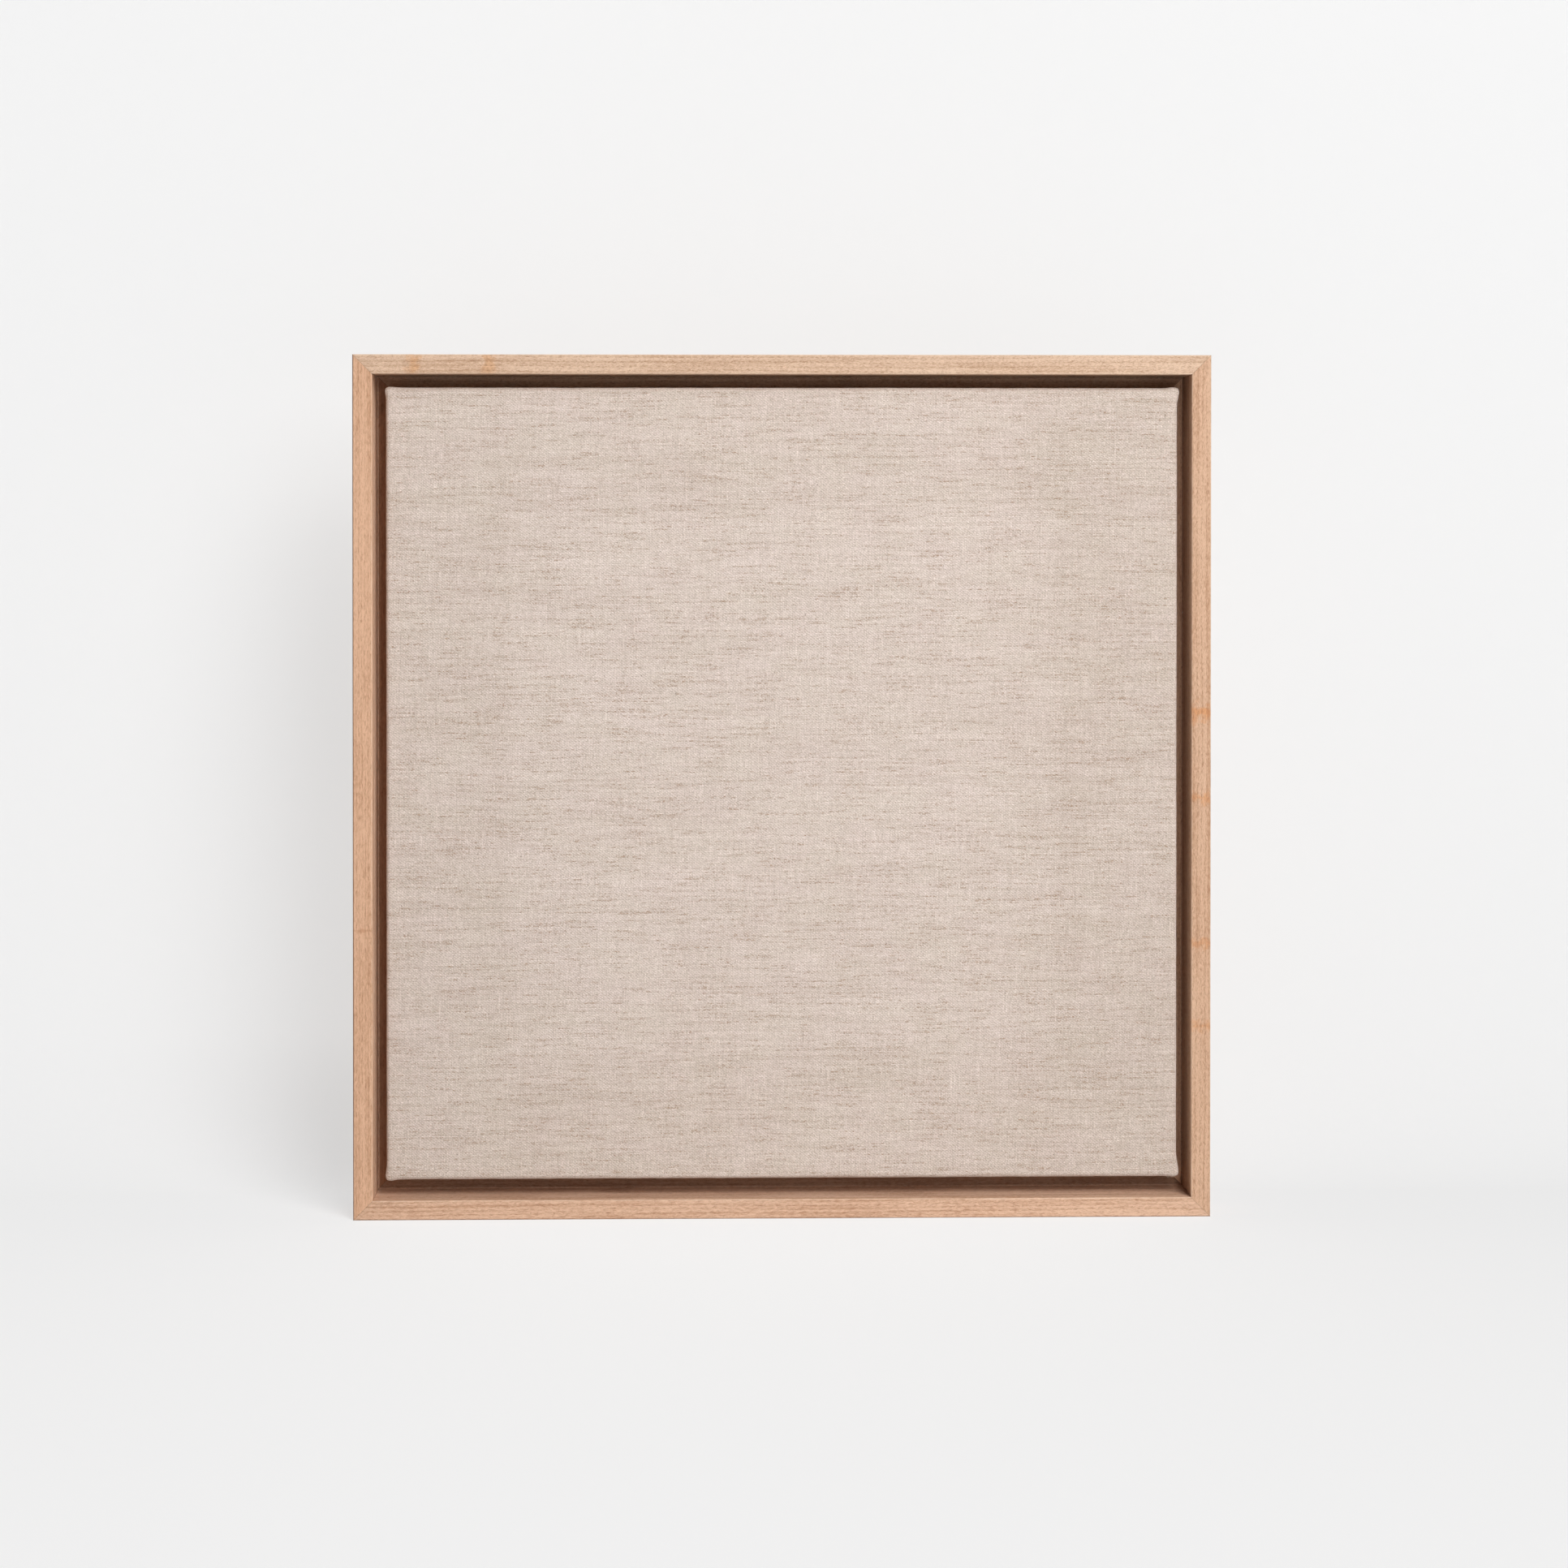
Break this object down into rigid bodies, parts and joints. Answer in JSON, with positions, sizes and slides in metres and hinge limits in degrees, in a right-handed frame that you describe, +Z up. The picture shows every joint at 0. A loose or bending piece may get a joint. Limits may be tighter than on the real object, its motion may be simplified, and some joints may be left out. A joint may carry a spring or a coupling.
{
  "type": "stretched canvas",
  "caption": "Square unprimed linen canvas on a keyed wooden stretcher, set back inside a pale oak floater frame with ring hangers behind.",
  "frame": {"origin": "centre of the object's box in X and Y, at the underside of the bottom rail", "axes": "+Z up, -Y out of the front of the canvas, +X to the viewer's right"},
  "size_m": [0.433, 0.037, 0.436],
  "materials": {
    "oak": "fine-sanded pale oak, clear matt oil",
    "linen": "unprimed natural linen, plain weave, matt",
    "pine": "planed raw pine",
    "beech": "sawn raw beech",
    "staple_wire": "galvanised wire",
    "zinc_steel": "bright zinc plate",
    "nail_steel": "plain steel strip",
    "hanger_steel": "nickel-plated pressed steel",
    "ring_steel": "nickel-plated wire",
    "bumper_rubber": "translucent soft rubber, matt"
  },
  "bodies": {
    "framed_canvas": {"frame_rail_top": "oak", "frame_rail_bottom": "oak", "frame_rail_left": "oak", "frame_rail_right": "oak", "frame_v_nails": "nail_steel", "canvas_fixing_screws": "zinc_steel", "stretcher_bar_top": "pine", "stretcher_bar_bottom": "pine", "stretcher_bar_left": "pine", "stretcher_bar_right": "pine", "linen_canvas": "linen", "staples_top": "staple_wire", "staples_bottom": "staple_wire", "staples_left": "staple_wire", "staples_right": "staple_wire", "hanger_strap_left": "hanger_steel", "hanger_strap_right": "hanger_steel", "hanger_screws": "zinc_steel", "wall_bumper_left": "bumper_rubber", "wall_bumper_right": "bumper_rubber"},
    "corner_key_top_left_across": {"corner_key_top_left_across": "beech"},
    "corner_key_top_left_upright": {"corner_key_top_left_upright": "beech"},
    "corner_key_top_right_across": {"corner_key_top_right_across": "beech"},
    "corner_key_top_right_upright": {"corner_key_top_right_upright": "beech"},
    "corner_key_bottom_left_across": {"corner_key_bottom_left_across": "beech"},
    "corner_key_bottom_left_upright": {"corner_key_bottom_left_upright": "beech"},
    "corner_key_bottom_right_across": {"corner_key_bottom_right_across": "beech"},
    "corner_key_bottom_right_upright": {"corner_key_bottom_right_upright": "beech"},
    "hanger_ring_left": {"hanger_ring_left": "ring_steel"},
    "hanger_ring_right": {"hanger_ring_right": "ring_steel"}
  },
  "joints": [
    {"name": "corner_key_top_left_across_slide", "type": "slide", "parent": "framed_canvas", "child": "corner_key_top_left_across", "axis": [1, 0, 0], "range_m": [0, 0.03]},
    {"name": "corner_key_top_left_upright_slide", "type": "slide", "parent": "framed_canvas", "child": "corner_key_top_left_upright", "axis": [0, 0, -1], "range_m": [0, 0.03]},
    {"name": "corner_key_top_right_across_slide", "type": "slide", "parent": "framed_canvas", "child": "corner_key_top_right_across", "axis": [-1, 0, 0], "range_m": [0, 0.03]},
    {"name": "corner_key_top_right_upright_slide", "type": "slide", "parent": "framed_canvas", "child": "corner_key_top_right_upright", "axis": [0, 0, -1], "range_m": [0, 0.03]},
    {"name": "corner_key_bottom_left_across_slide", "type": "slide", "parent": "framed_canvas", "child": "corner_key_bottom_left_across", "axis": [1, 0, 0], "range_m": [0, 0.03]},
    {"name": "corner_key_bottom_left_upright_slide", "type": "slide", "parent": "framed_canvas", "child": "corner_key_bottom_left_upright", "axis": [0, 0, 1], "range_m": [0, 0.03]},
    {"name": "corner_key_bottom_right_across_slide", "type": "slide", "parent": "framed_canvas", "child": "corner_key_bottom_right_across", "axis": [-1, 0, 0], "range_m": [0, 0.03]},
    {"name": "corner_key_bottom_right_upright_slide", "type": "slide", "parent": "framed_canvas", "child": "corner_key_bottom_right_upright", "axis": [0, 0, 1], "range_m": [0, 0.03]},
    {"name": "hanger_ring_left_swing", "type": "hinge", "parent": "framed_canvas", "child": "hanger_ring_left", "pos_m": [-0.189, 0.0165, 0.305], "axis": [0, 0, 1], "range_deg": [-8, 174]},
    {"name": "hanger_ring_right_swing", "type": "hinge", "parent": "framed_canvas", "child": "hanger_ring_right", "pos_m": [0.189, 0.0165, 0.305], "axis": [0, 0, -1], "range_deg": [-8, 174]}
  ]
}
